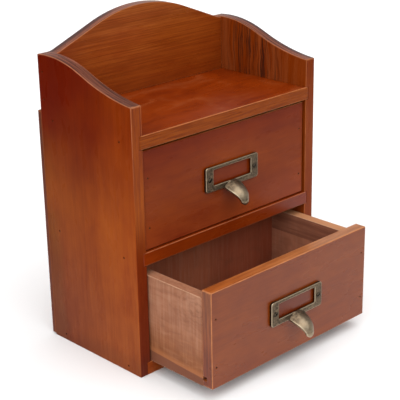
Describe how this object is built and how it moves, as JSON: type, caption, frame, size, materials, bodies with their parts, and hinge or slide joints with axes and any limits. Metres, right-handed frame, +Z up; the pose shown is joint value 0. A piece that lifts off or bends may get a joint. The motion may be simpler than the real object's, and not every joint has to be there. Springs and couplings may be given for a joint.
{
  "type": "desktop drawer chest",
  "caption": "Small stained-wood desktop chest with stacked drawers, label-frame finger pulls, and a gallery shelf between ogee sides and an arched back board.",
  "frame": {"origin": "centre of the case's footprint (side boards and back panel) on the surface it stands on", "axes": "+Z up, -Y towards the front where the drawers open, +X to the right seen from the front"},
  "size_m": [0.2, 0.1969, 0.2644],
  "materials": {
    "case_wood": "reddish-brown stain under satin lacquer, lighter on worn edges",
    "drawer_face_wood": "reddish-brown stain under satin lacquer",
    "drawer_box_wood": "unlacquered pinkish-brown softwood",
    "drawer_plywood": "thin stained plywood",
    "back_plywood": "thin stained plywood, matt",
    "antique_brass": "antiqued brass, rubbed bright on raised edges",
    "screw_metal": "dark bronzed steel",
    "pin_steel": "dull steel"
  },
  "bodies": {
    "case": {"side_left": "case_wood", "side_right": "case_wood", "top_board": "case_wood", "middle_shelf": "case_wood", "bottom_board": "case_wood", "crest_board": "case_wood", "back_panel": "back_plywood", "case_pins": "pin_steel", "back_panel_nails": "pin_steel"},
    "upper_drawer": {"upper_drawer_front": "drawer_face_wood", "upper_drawer_side_left": "drawer_box_wood", "upper_drawer_side_right": "drawer_box_wood", "upper_drawer_back": "drawer_box_wood", "upper_drawer_bottom": "drawer_plywood", "upper_drawer_pins": "pin_steel", "upper_pull": "antique_brass", "upper_pull_screws": "screw_metal"},
    "lower_drawer": {"lower_drawer_front": "drawer_face_wood", "lower_drawer_side_left": "drawer_box_wood", "lower_drawer_side_right": "drawer_box_wood", "lower_drawer_back": "drawer_box_wood", "lower_drawer_bottom": "drawer_plywood", "lower_drawer_pins": "pin_steel", "lower_pull": "antique_brass", "lower_pull_screws": "screw_metal"}
  },
  "joints": [
    {"name": "upper_drawer_slide", "type": "slide", "parent": "case", "child": "upper_drawer", "axis": [0, -1, 0], "range_m": [0, 0.085]},
    {"name": "lower_drawer_slide", "type": "slide", "parent": "case", "child": "lower_drawer", "axis": [0, -1, 0], "range_m": [-0.069, 0.016]}
  ]
}
